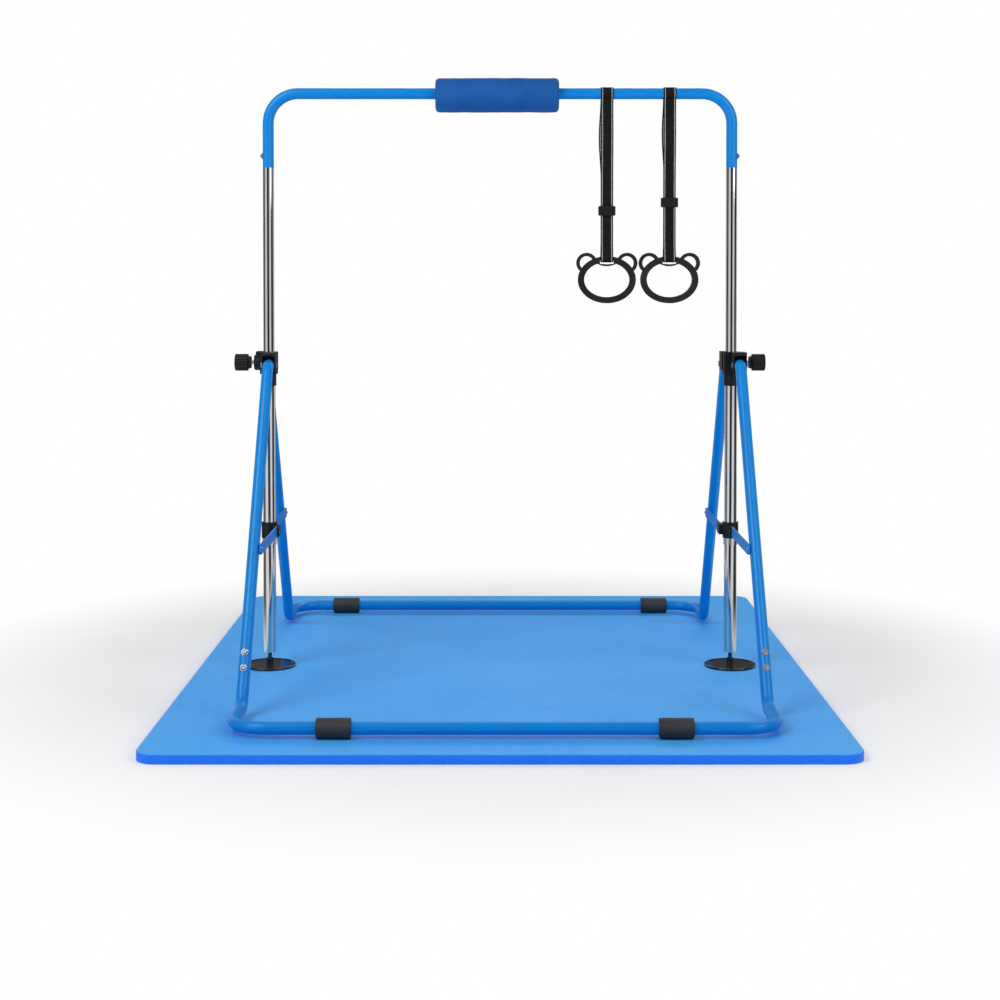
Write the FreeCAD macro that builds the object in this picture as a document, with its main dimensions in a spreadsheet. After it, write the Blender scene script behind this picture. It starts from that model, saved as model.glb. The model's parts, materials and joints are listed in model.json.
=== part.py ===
"""Folding kip bar on a mat: telescopic posts, two folding base frames, padded bar and hand rings.

Millimetres. +X runs along the bar, +Y to the rear, +Z up. The origin is under the middle of the mat.
"""
import FreeCAD, Part
import math
import os

V = FreeCAD.Vector
doc = FreeCAD.newDocument("kip_bar")
sheet = doc.addObject("Spreadsheet::Sheet", "sizes")

# Driving dimensions. Heights marked "above mat" start at the mat's top face.
SIZES = [
    ("mat_width", 1524, "mat, along the bar"),
    ("mat_depth", 1829, "mat, front to rear"),
    ("mat_thick", 22, "mat thickness"),
    ("mat_corner", 45, "mat corner radius"),
    ("mat_edge", 4, "rounding of the mat's top edge"),
    ("rest_gap", 0.4, "air between the frame and the mat"),
    ("post_half", 585, "half the distance between the posts"),
    ("post_y", -79, "plane of the posts"),
    ("tube_od", 28, "frame tube outside diameter"),
    ("tube_wall", 1.5, "frame tube wall"),
    ("lower_wall", 1.92, "lower post wall"),
    ("slide_gap", 0.08, "radial clearance of the telescope"),
    ("lower_bottom", 36, "lower post end, above mat"),
    ("upper_bottom", 577, "upper post end, above mat"),
    ("joint_z", 1263, "end of the blue bar tube, above mat"),
    ("spigot_length", 60, "reduced end of the upper post"),
    ("bar_z", 1450, "bar axis, above mat"),
    ("bar_bend", 75, "bend radius of the bar"),
    ("pin_z", 772, "lock pin axis, above mat"),
    ("pin_od", 10, "lock pin diameter"),
    ("pin_gap", 0.1, "radial clearance of the lock pin"),
    ("level_pitch", 90, "distance between height settings"),
    ("level_count", 6, "height settings"),
    ("head_bottom", 743, "head moulding bottom, above mat"),
    ("head_top", 799, "head moulding top, above mat"),
    ("head_cap", 2, "head moulding over the end of the lower post"),
    ("head_half", 21, "head half width"),
    ("head_depth", 20, "head half depth"),
    ("ear_wall", 3.2, "fork ear thickness"),
    ("ear_gap", 0.6, "side clearance of a leg in its fork"),
    ("ear_length", 37, "fork ear length past the head"),
    ("hood", 9, "thickness of the hood over a fork"),
    ("pivot_z", 767, "leg pivot axis, above mat"),
    ("pivot_y", 43, "leg pivot, from the post plane"),
    ("pivot_od", 8, "leg pivot bolt diameter"),
    ("stub_end", 27, "inner end of a leg, from the post plane"),
    ("leg_top", 66, "corner at the top of a leg, from the post plane"),
    ("leg_foot", 535, "corner at the foot of a leg, from the post plane"),
    ("leg_top_bend", 32, "bend radius at the top of a leg"),
    ("foot_bend", 50, "bend radius at the foot of a leg"),
    ("corner_bend", 75, "bend radius at a base corner"),
    ("rail_y", 713, "base rail, from the post plane"),
    ("rail_z", 22, "base rail axis, above mat"),
    ("seam_z", 82, "joint of leg and base tube, above mat"),
    ("frame_out", 5, "half width of a frame beyond half the distance between the posts"),
    ("frame_shift", 10.7, "sideways shift of each frame, front to the right, rear to the left"),
    ("leg_spigot", 75, "reduced end of the base tube"),
    ("bolt_low", 18, "lower leg bolt, from the seam along the leg"),
    ("bolt_pitch", 37, "distance between the leg bolts"),
    ("bolt_od", 8, "bolt diameter"),
    ("bolt_length", 22, "bolt length under the head"),
    ("bolt_head_od", 14, "button head diameter"),
    ("bolt_head", 4.2, "button head height"),
    ("hex_af", 5, "hex socket across flats"),
    ("washer_od", 16, "washer diameter"),
    ("washer_thick", 1.2, "washer thickness"),
    ("bar_bolt_z", 1293, "bar bolt axis, above mat"),
    ("sleeve_od", 44, "base sleeve diameter"),
    ("sleeve_length", 75, "base sleeve length"),
    ("front_sleeve_x", 367, "front sleeve from the middle"),
    ("rear_sleeve_x", 452, "rear sleeve from the middle"),
    ("liner_length", 30, "sleeve under the head"),
    ("liner_wall", 2.5, "wall of the sleeve under the head"),
    ("collar_bottom", 327, "sliding collar bottom, above mat"),
    ("collar_height", 40, "sliding collar height"),
    ("collar_wall", 4, "sliding collar wall"),
    ("ring_height", 17, "stop ring height"),
    ("ring_wall", 2, "stop ring wall"),
    ("strut_z", 347, "strut axis, above mat"),
    ("strut_pin_y", 35, "strut pin at the collar, from the post plane"),
    ("strut_wide", 25, "strut height"),
    ("strut_thick", 4, "strut thickness"),
    ("strut_gap", 0.5, "side clearance of a strut"),
    ("strut_pin_od", 6, "strut pin diameter"),
    ("socket_od", 38, "lock socket diameter"),
    ("socket_end", 36, "lock socket end, from the post axis"),
    ("knob_start", 45, "knob's inner face, from the post axis"),
    ("knob_neck", 7, "knob neck length"),
    ("knob_length", 40, "knob length"),
    ("knob_od", 43, "knob diameter"),
    ("knob_flutes", 10, "finger flutes on the knob"),
    ("disc_od", 130, "foot disc diameter"),
    ("disc_thick", 6, "foot disc thickness"),
    ("hub_od", 19, "foot disc hub diameter"),
    ("hub_height", 14, "foot disc hub height"),
    ("stud_od", 10, "foot stud diameter"),
    ("stud_length", 62, "foot stud length above the disc"),
    ("plug_length", 30, "post plug length"),
    ("pad_length", 311, "foam pad length"),
    ("pad_od", 89, "foam pad diameter"),
    ("pad_x", -7, "foam pad middle"),
    ("pad_round", 9, "foam pad edge rounding"),
    ("soft_gap", 0.3, "air between soft goods and what they hang on"),
    ("strap_wide", 32, "webbing width"),
    ("strap_thick", 2, "webbing thickness"),
    ("strap_1_x", 270, "first strap"),
    ("strap_2_x", 428, "second strap"),
    ("loop_pinch", 55, "bar axis to where the strap's layers meet"),
    ("rim_pinch", 40, "ring rim to where the strap's layers meet"),
    ("ring_z", 1035, "top rim of a hand ring, above mat"),
    ("grip_rim", 11, "ring's top rim under the strap"),
    ("grip_depth", 12, "ring's thickness under the strap"),
    ("slot_play", 1.5, "play of the strap at each side of its slot in a hand ring"),
    ("slot_drop", 23, "ring's top to the thin bar under the strap slot"),
    ("lip_radius", 43, "curve of the thin bar under the strap slot"),
    ("ring_half_wide", 73, "hand ring half width"),
    ("ring_half_tall", 59.5, "hand ring half height"),
    ("rim", 15.5, "hand ring rim"),
    ("ring_depth", 19, "hand ring thickness"),
    ("ear_x", 51, "ear centre beside the ring centre"),
    ("ear_z", 42, "ear centre above the ring centre"),
    ("ear_outer", 26, "ear outer radius"),
    ("ear_inner", 17.5, "ear inner radius"),
    ("buckle_1_z", 1155, "first buckle, above mat"),
    ("buckle_2_z", 1176, "second buckle, above mat"),
    ("buckle_wide", 43, "buckle width"),
    ("buckle_tall", 24, "buckle height"),
    ("buckle_thick", 11, "buckle thickness"),
]
for row, (alias, value, meaning) in enumerate(SIZES, start=1):
    sheet.set(f"A{row}", str(value))
    sheet.setAlias(f"A{row}", alias)
    sheet.set(f"B{row}", meaning)
doc.recompute()


def size(alias):
    """The value of a named cell."""
    return float(sheet.get(alias))


nodes = {}


def bound(kind, name, **expressions):
    """A document object whose properties follow the sheet."""
    item = doc.addObject(kind, name)
    for prop, text in expressions.items():
        item.setExpression(prop, text)
    return item


def placed(item, x="0", y="0", z="0", axis="Z", turn=None):
    """Puts an object at expressions of the sheet, with its own Z along the given axis."""
    turns = {
        "Z": FreeCAD.Rotation(),
        "X": FreeCAD.Rotation(V(0, 1, 0), 90),
        "-X": FreeCAD.Rotation(V(0, 1, 0), -90),
        "Y": FreeCAD.Rotation(V(1, 0, 0), -90),
    }
    item.Placement = FreeCAD.Placement(V(), turn or turns[axis])
    item.setExpression("Placement.Base.x", x)
    item.setExpression("Placement.Base.y", y)
    item.setExpression("Placement.Base.z", z)
    return item


def rod(name, radius, length, x, y, z, axis="Z", turn=None):
    """A cylinder from expressions."""
    return placed(bound("Part::Cylinder", name, Radius=radius, Height=length), x, y, z, axis, turn)


def block(name, length, width, height, x, y, z):
    """A box from expressions, given by its lowest corner."""
    return placed(bound("Part::Box", name, Length=length, Width=width, Height=height), x, y, z)


def cut(name, base, *tools):
    """The base without the tools."""
    result = base
    for number, tool in enumerate(tools):
        step = doc.addObject("Part::Cut", f"{name}_cut_{number}")
        step.Base = result
        step.Tool = tool
        result = step
    return result


def fuse(name, *parts):
    """The parts joined in one solid."""
    item = doc.addObject("Part::MultiFuse", name + "_fuse")
    item.Shapes = list(parts)
    item.Refine = True
    return item


def group(name, *parts):
    """Equal pieces that share one node."""
    item = doc.addObject("Part::Compound", name + "_group")
    item.Links = list(parts)
    return item


def node(name, item):
    """Keeps an object as a sub-part under its name."""
    item.Label = name
    nodes[name] = item
    return item


def rounded(name, base, radius, wanted):
    """The base with a fillet on the edges that the test picks."""
    doc.recompute()
    item = doc.addObject("Part::Fillet", name + "_fillet")
    item.Base = base
    item.Edges = [(i, radius, radius) for i, e in enumerate(base.Shape.Edges, start=1) if wanted(e)]
    return item


def above(alias):
    """A height above the mat as one above the floor."""
    return f"sizes.mat_thick + sizes.rest_gap + sizes.{alias}"


def height(alias):
    """The same height as a number."""
    return size("mat_thick") + size("rest_gap") + size(alias)


def path_shape(points, bends):
    """A line through the points with an arc of the given radius at each inner point."""
    edges = []
    start = points[0]
    for i in range(1, len(points) - 1):
        before = (points[i - 1] - points[i]).normalize()
        after = (points[i + 1] - points[i]).normalize()
        half = before.getAngle(after) / 2
        reach = bends[i - 1] / math.tan(half)
        first = points[i] + before * reach
        last = points[i] + after * reach
        middle_way = (before + after).normalize()
        middle = points[i] + middle_way * (bends[i - 1] / math.sin(half) - bends[i - 1])
        edges.append(Part.LineSegment(start, first).toShape())
        edges.append(Part.Arc(first, middle, last).toShape())
        start = last
    edges.append(Part.LineSegment(start, points[-1]).toShape())
    return Part.Wire(edges)


def bent_tube(name, points, bends, outer="sizes.tube_od / 2", bore="sizes.tube_od / 2 - sizes.tube_wall"):
    """A tube bent along a path: two sweeps, the bore taken from the outside."""
    path = doc.addObject("Part::Feature", name + "_path")
    path.Shape = path_shape(points, bends)
    turn = FreeCAD.Rotation(V(0, 0, 1), points[1] - points[0])
    sweeps = []
    for part, radius in (("outer", outer), ("bore", bore)):
        circle = bound("Part::Circle", f"{name}_{part}_circle", Radius=radius)
        circle.Placement = FreeCAD.Placement(points[0], turn)
        sweep = doc.addObject("Part::Sweep", f"{name}_{part}")
        sweep.Sections = [circle]
        sweep.Spine = (path, [f"Edge{i + 1}" for i in range(len(path.Shape.Edges))])
        sweep.Solid = True
        sweeps.append(sweep)
    return cut(name + "_tube", sweeps[0], sweeps[1])


POST_Y = "sizes.post_y"
LOWER_OD = "(sizes.tube_od + 2 * (sizes.slide_gap + sizes.lower_wall))"
FRAME_HALF = "(sizes.post_half + sizes.frame_out)"
SIDES = (("left", -1), ("right", 1))
FRAMES = (("front", -1), ("rear", 1))
TUBE_R = size("tube_od") / 2


def mat():
    """A slab with round corners and a softened top edge."""
    slab = block(
        "mat_slab",
        "sizes.mat_width",
        "sizes.mat_depth",
        "sizes.mat_thick",
        "-sizes.mat_width / 2",
        "-sizes.mat_depth / 2",
        "0",
    )
    corners = rounded("mat_corners", slab, size("mat_corner"), lambda e: abs(e.tangentAt(0).z) > 0.9)
    top = size("mat_thick")
    edge = rounded("mat_top", corners, size("mat_edge"), lambda e: e.BoundBox.ZMin > top - 0.01)
    node("mat", edge)


def lower_post(side, sign):
    """The chrome outer tube of a post, with the lock pin's hole in its outboard wall."""
    x = f"{sign} * sizes.post_half"
    length = "sizes.head_top - sizes.head_cap - sizes.lower_bottom"
    tube = rod(f"{side}_lower", LOWER_OD + " / 2", length, x, POST_Y, above("lower_bottom"))
    inner = "sizes.tube_od / 2 + sizes.slide_gap"
    bore = rod(f"{side}_lower_bore", inner, length, x, POST_Y, above("lower_bottom"))
    hole = pin_hole(f"{side}_lower_hole", sign, above("pin_z"), LOWER_OD)
    node(f"{side}_lower_post", cut(f"{side}_lower_post", tube, bore, hole))


def pin_hole(name, sign, z, length):
    """A hole for the lock pin from the post's axis outboard."""
    axis = "X" if sign > 0 else "-X"
    x = f"{sign} * sizes.post_half"
    return rod(name, "sizes.pin_od / 2 + sizes.pin_gap", length, x, POST_Y, z, axis)


def post_fittings(side, sign):
    """The sleeve under the head, the stop ring under the collar and the plug in the post's end."""
    x = f"{sign} * sizes.post_half"
    outer = LOWER_OD + " / 2"
    rows = (
        ("post_liner", outer + " + sizes.liner_wall", outer, "sizes.liner_length",
         above("head_bottom") + " - sizes.liner_length"),
        ("stop_ring", outer + " + sizes.ring_wall", outer, "sizes.ring_height",
         above("collar_bottom") + " - sizes.ring_height - sizes.rest_gap"),
        ("post_plug", "sizes.tube_od / 2 + sizes.slide_gap", "sizes.stud_od / 2 + sizes.pin_gap",
         "sizes.plug_length", above("lower_bottom")),
    )
    for name, radius, inner, length, z in rows:
        body = rod(f"{side}_{name}_body", radius, length, x, POST_Y, z)
        bore = rod(f"{side}_{name}_bore", inner, length, x, POST_Y, z)
        node(f"{side}_{name}", cut(f"{side}_{name}", body, bore))


def fork_side(way, sign):
    """Where a fork's middle lies beside the post's axis, outboard positive."""
    return f"(sizes.frame_out - {sign * way} * sizes.frame_shift)"


def leg_x(way, sign):
    """Where a leg's axis lies along the bar. Both frames are alike, and each is shifted to its own side."""
    return sign * (size("post_half") + size("frame_out")) - way * size("frame_shift")


def head(side, sign):
    """The moulding on top of a lower post: post bore, a fork for each leg and the lock socket."""
    name = f"{side}_head"
    x = f"{sign} * sizes.post_half"
    tall = "sizes.head_top - sizes.head_bottom"
    core = block(
        f"{name}_core",
        "2 * sizes.head_half",
        "2 * sizes.head_depth",
        tall,
        f"{x} - sizes.head_half",
        f"{POST_Y} - sizes.head_depth",
        above("head_bottom"),
    )
    parts = [rounded(f"{name}_core", core, size("head_depth") / 4, lambda e: abs(e.tangentAt(0).z) > 0.9)]
    tools = []
    slot_half = "(sizes.tube_od / 2 + sizes.ear_gap)"
    for end, way in FRAMES:
        middle = f"{x} + {sign} * {fork_side(way, sign)}"
        start = f"{POST_Y} - sizes.head_depth - sizes.ear_length" if way < 0 else f"{POST_Y}"
        depth = "sizes.head_depth + sizes.ear_length"
        outer = f"2 * ({slot_half} + sizes.ear_wall)"
        fork = block(
            f"{name}_{end}_fork",
            outer,
            depth,
            tall + " - 9",
            f"{middle} - {slot_half} - sizes.ear_wall",
            start,
            above("head_bottom") + " + 9",
        )
        parts.append(rounded(f"{name}_{end}_fork", fork, size("hood") * 0.6, fork_edge(way, fork)))
        gap_start = f"{start} - 1" if way < 0 else f"{POST_Y} + sizes.head_depth"
        tools.append(
            block(
                f"{name}_{end}_slot",
                f"2 * {slot_half}",
                "sizes.ear_length + 1",
                tall + " - sizes.hood",
                f"{middle} - {slot_half}",
                gap_start,
                above("head_bottom"),
            )
        )
        tools.append(
            rod(
                f"{name}_{end}_pivot_hole",
                "sizes.pivot_od / 2",
                outer + " + 2",
                f"{middle} - {slot_half} - sizes.ear_wall - 1",
                f"{POST_Y} + {way} * sizes.pivot_y",
                above("pivot_z"),
                "X",
            )
        )
    axis = "X" if sign > 0 else "-X"
    parts.append(rod(f"{name}_socket", "sizes.socket_od / 2", "sizes.socket_end", x, POST_Y, above("pin_z"), axis))
    tools.append(rod(f"{name}_bore", LOWER_OD + " / 2", tall + " - sizes.head_cap", x, POST_Y, above("head_bottom")))
    tools.append(
        rod(f"{name}_mouth", "sizes.tube_od / 2 + sizes.slide_gap", "90", x, POST_Y, above("head_bottom"))
    )
    tools.append(pin_hole(f"{name}_pin_hole", sign, above("pin_z"), "2 * sizes.socket_end"))
    spring_x = f"{sign} * (sizes.post_half + sizes.head_half + 1)"
    tools.append(rod(f"{name}_well", "sizes.pin_od / 2 + 4", "sizes.socket_end", spring_x, POST_Y, above("pin_z"), axis))
    node(name, cut(name, fuse(name, *parts), *tools))


def fork_edge(way, fork):
    """Picks a fork's outer upright edges and its outer top edge."""
    doc.recompute()
    far = fork.Shape.BoundBox.YMin if way < 0 else fork.Shape.BoundBox.YMax

    def wanted(edge):
        centre = edge.BoundBox.Center
        upright = abs(edge.tangentAt(0).z) > 0.9
        top = abs(centre.z - fork.Shape.BoundBox.ZMax) < 0.01 and abs(edge.tangentAt(0).x) > 0.9
        return abs(centre.y - far) < 0.01 and (upright or top)

    return wanted


def pivot_bolts():
    """Four bolts on which the legs turn, each with a low round head."""
    bolts = []
    for side, sign in SIDES:
        for end, way in FRAMES:
            middle = f"({sign} * {FRAME_HALF} - {way} * sizes.frame_shift)"
            reach = "(sizes.tube_od / 2 + sizes.ear_gap + sizes.ear_wall)"
            y = f"{POST_Y} + {way} * sizes.pivot_y"
            name = f"{side}_{end}_pivot"
            shank = rod(name, "sizes.pivot_od / 2", f"2 * {reach}", f"{middle} - {reach}", y, above("pivot_z"), "X")
            caps = [
                rod(f"{name}_cap_{i}", "sizes.bolt_head_od / 2", "sizes.bolt_head * 0.6", x, y, above("pivot_z"), ax)
                for i, (x, ax) in enumerate(((f"{middle} + {reach}", "X"), (f"{middle} - {reach}", "-X")))
            ]
            bolts.append(fuse(name, shank, *caps))
    node("leg_pivot_bolts", group("leg_pivot_bolts", *bolts))


def knob(side, sign):
    """The pull knob, its lock pin and the spring round the pin."""
    axis = "X" if sign > 0 else "-X"
    z = above("pin_z")
    start = f"{sign} * (sizes.post_half + sizes.knob_start)"
    neck = rod(f"{side}_knob_neck", "sizes.knob_od * 0.36", "sizes.knob_neck + 1", start, POST_Y, z, axis)
    grip_x = f"{sign} * (sizes.post_half + sizes.knob_start + sizes.knob_neck)"
    grip = rod(f"{side}_knob_grip", "sizes.knob_od / 2", "sizes.knob_length - sizes.knob_neck", grip_x, POST_Y, z, axis)
    soft_grip = rounded(f"{side}_knob", grip, 2.5, lambda e: e.Closed)
    flutes = []
    count = int(size("knob_flutes"))
    for i in range(count):
        angle = 360 * (i + 0.5) / count
        flutes.append(
            rod(
                f"{side}_flute_{i}",
                "sizes.knob_od * 0.09",
                "sizes.knob_length + 20",
                f"{sign} * (sizes.post_half + sizes.knob_start + sizes.knob_neck - 10)",
                f"{POST_Y} + (sizes.knob_od * 0.545) * {math.cos(math.radians(angle)):.5f}",
                f"{z} + (sizes.knob_od * 0.545) * {math.sin(math.radians(angle)):.5f}",
                axis,
            )
        )
    seat = rod(f"{side}_knob_seat", "sizes.pin_od / 2", "20", start, POST_Y, z, axis)
    node(f"{side}_knob", cut(f"{side}_knob", fuse(f"{side}_knob", neck, soft_grip), *flutes, seat))
    tip = f"{sign} * (sizes.post_half + sizes.tube_od / 2 + sizes.soft_gap)"
    length = "sizes.knob_start + 20 - sizes.tube_od / 2 - sizes.soft_gap"
    node(f"{side}_lock_pin", rod(f"{side}_lock_pin", "sizes.pin_od / 2", length, tip, POST_Y, z, axis))


def pin_springs():
    """The coil spring in each lock socket, as a coil at rest."""
    coils = []
    wire_r = 0.7
    coil_r = size("pin_od") / 2 + 2.4
    inner = size("head_half") + 1 + wire_r + 0.1
    length = size("socket_end") - inner - wire_r - 1
    for side, sign in SIDES:
        helix = Part.makeHelix(length / 5, length, coil_r)
        circle = Part.Wire([Part.makeCircle(wire_r, V(coil_r, 0, 0), V(0, 1, 0))])
        coil = Part.Wire(helix.Edges).makePipeShell([circle], True, True)
        spring = doc.addObject("Part::Feature", f"{side}_spring")
        spring.Shape = coil
        turn = FreeCAD.Rotation(V(0, 1, 0), 90 * sign)
        place = V(sign * (size("post_half") + inner), size("post_y"), height("pin_z"))
        spring.Placement = FreeCAD.Placement(place, turn)
        coils.append(spring)
    node("lock_springs", group("lock_springs", *coils))


def bar():
    """The blue bar: straight across the top, bent down at both ends, with a hole for each bolt."""
    x = size("post_half")
    y = size("post_y")
    low = height("joint_z")
    high = height("bar_z")
    points = [V(-x, y, low), V(-x, y, high), V(x, y, high), V(x, y, low)]
    tube = bent_tube("bar", points, [size("bar_bend")] * 2)
    holes = [bolt_hole(f"bar_hole_{side}", sign) for side, sign in SIDES]
    node("bar_tube", cut("bar_tube", tube, *holes))


def bolt_hole(name, sign):
    """A hole for a bar bolt in the outboard walls."""
    axis = "X" if sign > 0 else "-X"
    return rod(name, "sizes.bolt_od / 2", "30", f"{sign} * sizes.post_half", POST_Y, above("bar_bolt_z"), axis)


def upper_post(side, sign):
    """The chrome inner tube: a row of holes for the lock pin and a reduced end inside the bar tube."""
    x = f"{sign} * sizes.post_half"
    outer = "sizes.tube_od / 2"
    bore = "sizes.tube_od / 2 - sizes.tube_wall"
    long = "sizes.joint_z - sizes.upper_bottom"
    tube = rod(f"{side}_upper", outer, long, x, POST_Y, above("upper_bottom"))
    spigot = rod(f"{side}_spigot", bore, f"{long} + sizes.spigot_length", x, POST_Y, above("upper_bottom"))
    inner = rod(
        f"{side}_upper_bore", f"{bore} - sizes.tube_wall", f"{long} + sizes.spigot_length + 2", x, POST_Y,
        above("upper_bottom") + " - 1",
    )
    holes = [
        pin_hole(f"{side}_level_{i}", sign, f"{above('pin_z')} + {i} * sizes.level_pitch", LOWER_OD)
        for i in range(int(size("level_count")) - 1)
    ]
    holes.append(bolt_hole(f"{side}_spigot_hole", sign))
    whole = fuse(f"{side}_upper_post", tube, spigot)
    node(f"{side}_upper_post", cut(f"{side}_upper_post", whole, inner, *holes))


def button_bolt(name, turn, point):
    """A button-head bolt with a hex socket. Its shank runs along the turned -Z from the point."""
    shank = rod(name + "_shank", "sizes.bolt_od / 2", "sizes.bolt_length + 1", "0", "0", "-sizes.bolt_length")
    dome = bound(
        "Part::Cone", name + "_head",
        Radius1="sizes.bolt_head_od / 2", Radius2="sizes.bolt_head_od * 0.28", Height="sizes.bolt_head",
    )
    key = bound("Part::Prism", name + "_key", Circumradius="sizes.hex_af / 1.732", Height="sizes.bolt_head")
    placed(key, z="sizes.bolt_head * 0.45")
    bolt = cut(name, fuse(name, shank, dome), key)
    bolt.Placement = FreeCAD.Placement(point, turn)
    return bolt


def washer(name, turn, point):
    """A flat washer whose face lies at the point."""
    disc = rod(name + "_disc", "sizes.washer_od / 2", "sizes.washer_thick", "0", "0", "0")
    hole = rod(name + "_hole", "sizes.bolt_od / 2", "sizes.washer_thick", "0", "0", "0")
    ring = cut(name, disc, hole)
    ring.Placement = FreeCAD.Placement(point, turn)
    return ring


def bar_bolts():
    """One bolt and washer on the outboard side of each end of the bar tube."""
    bolts = []
    washers = []
    for side, sign in SIDES:
        way = V(sign, 0, 0)
        turn = FreeCAD.Rotation(V(0, 0, 1), way)
        point = V(sign * size("post_half"), size("post_y"), height("bar_bolt_z")) + way * TUBE_R
        washers.append(washer(f"{side}_bar_washer", turn, point))
        bolts.append(button_bolt(f"{side}_bar_bolt", turn, point + way * size("washer_thick")))
    node("bar_bolts", group("bar_bolts", *bolts))
    node("bar_washers", group("bar_washers", *washers))


def bar_pad():
    """The foam pad round the middle of the bar."""
    x = "sizes.pad_x - sizes.pad_length / 2"
    foam = rod("pad_foam", "sizes.pad_od / 2", "sizes.pad_length", x, POST_Y, above("bar_z") + " - 4", "X")
    soft = rounded("pad_foam", foam, size("pad_round"), lambda e: e.Closed)
    bore = rod(
        "pad_bore", "sizes.tube_od / 2 + sizes.soft_gap", "sizes.pad_length + 2", x + " - 1", POST_Y,
        above("bar_z"), "X",
    )
    node("bar_pad", cut("bar_pad", soft, bore))


def leg_line(end, way):
    """A leg's corner at the top, its corner at the foot and its seam, and the way down the leg."""
    y = size("post_y")
    top = V(0, y + way * size("leg_top"), height("pivot_z"))
    foot = V(0, y + way * size("leg_foot"), height("rail_z"))
    down = (foot - top).normalize()
    seam = top + down * ((top.z - height("seam_z")) / -down.z)
    return top, foot, seam, down


def leg_bolt_places(end, way, sign):
    """The point on the leg's axis at each bolt, and the way that the bolt's head faces."""
    top, foot, seam, down = leg_line(end, way)
    across = V(leg_x(way, sign), 0, 0)
    face = V(0, way * -down.z, way * down.y)
    if face.y * way < 0:
        face = face * -1
    spots = [seam - down * (size("bolt_low") + i * size("bolt_pitch")) + across for i in range(2)]
    return spots, face


def bolt_drills(name, end, way, sign, length):
    """Holes for a leg's two bolts, through the wall that their heads face."""
    spots, face = leg_bolt_places(end, way, sign)
    drills = []
    for i, spot in enumerate(spots):
        drill = bound("Part::Cylinder", f"{name}_{i}", Radius="sizes.bolt_od / 2", Height=length)
        drill.Placement = FreeCAD.Placement(spot, FreeCAD.Rotation(V(0, 0, 1), face))
        drills.append(drill)
    return drills


def base_frame(end, way):
    """One folding frame: two legs, the base tube between them, its sleeves and its bolts."""
    top, foot, seam, down = leg_line(end, way)
    y = size("post_y")
    bolts = []
    washers = []
    for side, sign in SIDES:
        across = V(leg_x(way, sign), 0, 0)
        inner = V(0, y + way * size("stub_end"), height("pivot_z"))
        name = f"{end}_{side}_leg"
        tube = bent_tube(name, [inner + across, top + across, seam + across], [size("leg_top_bend")])
        pivot = rod(
            name + "_pivot_hole", "sizes.pivot_od / 2 + sizes.pin_gap", "sizes.tube_od + 4",
            f"{sign} * {FRAME_HALF} - {way} * sizes.frame_shift - sizes.tube_od / 2 - 2", f"{POST_Y} + {way} * sizes.pivot_y",
            above("pivot_z"), "X",
        )
        drills = bolt_drills(name + "_drill", end, way, sign, "30")
        node(name, cut(name, tube, pivot, *drills))
        spots, face = leg_bolt_places(end, way, sign)
        turn = FreeCAD.Rotation(V(0, 0, 1), face)
        for i, spot in enumerate(spots):
            seat = spot + face * TUBE_R
            washers.append(washer(f"{name}_washer_{i}", turn, seat))
            bolts.append(button_bolt(f"{name}_bolt_{i}", turn, seat + face * size("washer_thick")))
    node(f"{end}_leg_bolts", group(f"{end}_leg_bolts", *bolts))
    node(f"{end}_leg_washers", group(f"{end}_leg_washers", *washers))
    base_tube(end, way)
    for side, sign in SIDES:
        sleeve(end, way, side, sign)


def base_tube(end, way):
    """The base tube: up each leg to the seam, with a reduced end that goes inside the leg."""
    top, foot, seam, down = leg_line(end, way)
    corner = V(0, size("post_y") + way * size("rail_y"), height("rail_z"))
    left = V(leg_x(way, -1), 0, 0)
    right = V(leg_x(way, 1), 0, 0)
    points = [seam + left, foot + left, corner + left, corner + right, foot + right, seam + right]
    bends = [size("foot_bend"), size("corner_bend"), size("corner_bend"), size("foot_bend")]
    parts = [bent_tube(f"{end}_base", points, bends)]
    drills = []
    for side, sign in SIDES:
        place = FreeCAD.Placement(seam + V(leg_x(way, sign), 0, 0), FreeCAD.Rotation(V(0, 0, 1), down * -1))
        pair = []
        for part, radius in (("spigot", "sizes.tube_od / 2 - sizes.tube_wall"),
                             ("spigot_bore", "sizes.tube_od / 2 - 2 * sizes.tube_wall")):
            piece = bound("Part::Cylinder", f"{end}_{side}_{part}", Radius=radius,
                          Height="sizes.leg_spigot + sizes.spigot_length / 3")
            shift = down * (size("spigot_length") / 3)
            piece.Placement = FreeCAD.Placement(place.Base + shift, place.Rotation)
            pair.append(piece)
        parts.append(cut(f"{end}_{side}_spigot_tube", pair[0], pair[1]))
        drills += bolt_drills(f"{end}_{side}_base_drill", end, way, sign, "30")
    node(f"{end}_base_tube", cut(f"{end}_base_tube", fuse(f"{end}_base_tube", *parts), *drills))


def sleeve(end, way, side, sign):
    """A rubber sleeve round the base rail. It carries the rail clear of the mat."""
    shift = "sizes.frame_shift" if way < 0 else "0"
    x = f"{sign} * sizes.{end}_sleeve_x + {shift} - sizes.sleeve_length / 2"
    y = f"{POST_Y} + {way} * sizes.rail_y"
    name = f"{end}_{side}_sleeve"
    body = rod(name + "_body", "sizes.sleeve_od / 2", "sizes.sleeve_length", x, y, above("rail_z"), "X")
    soft = rounded(name, body, 3, lambda e: e.Closed)
    bore = rod(name + "_bore", "sizes.tube_od / 2", "sizes.sleeve_length + 2", x + " - 1", y, above("rail_z"), "X")
    node(name, cut(name, soft, bore))


def strut_side(way, sign):
    """A strut's middle plane beside the post's axis, outboard positive. It lies inboard of its leg."""
    reach = "(sizes.tube_od / 2 + sizes.strut_gap + sizes.strut_thick / 2)"
    return f"({fork_side(way, sign)} - {reach})"


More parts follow.
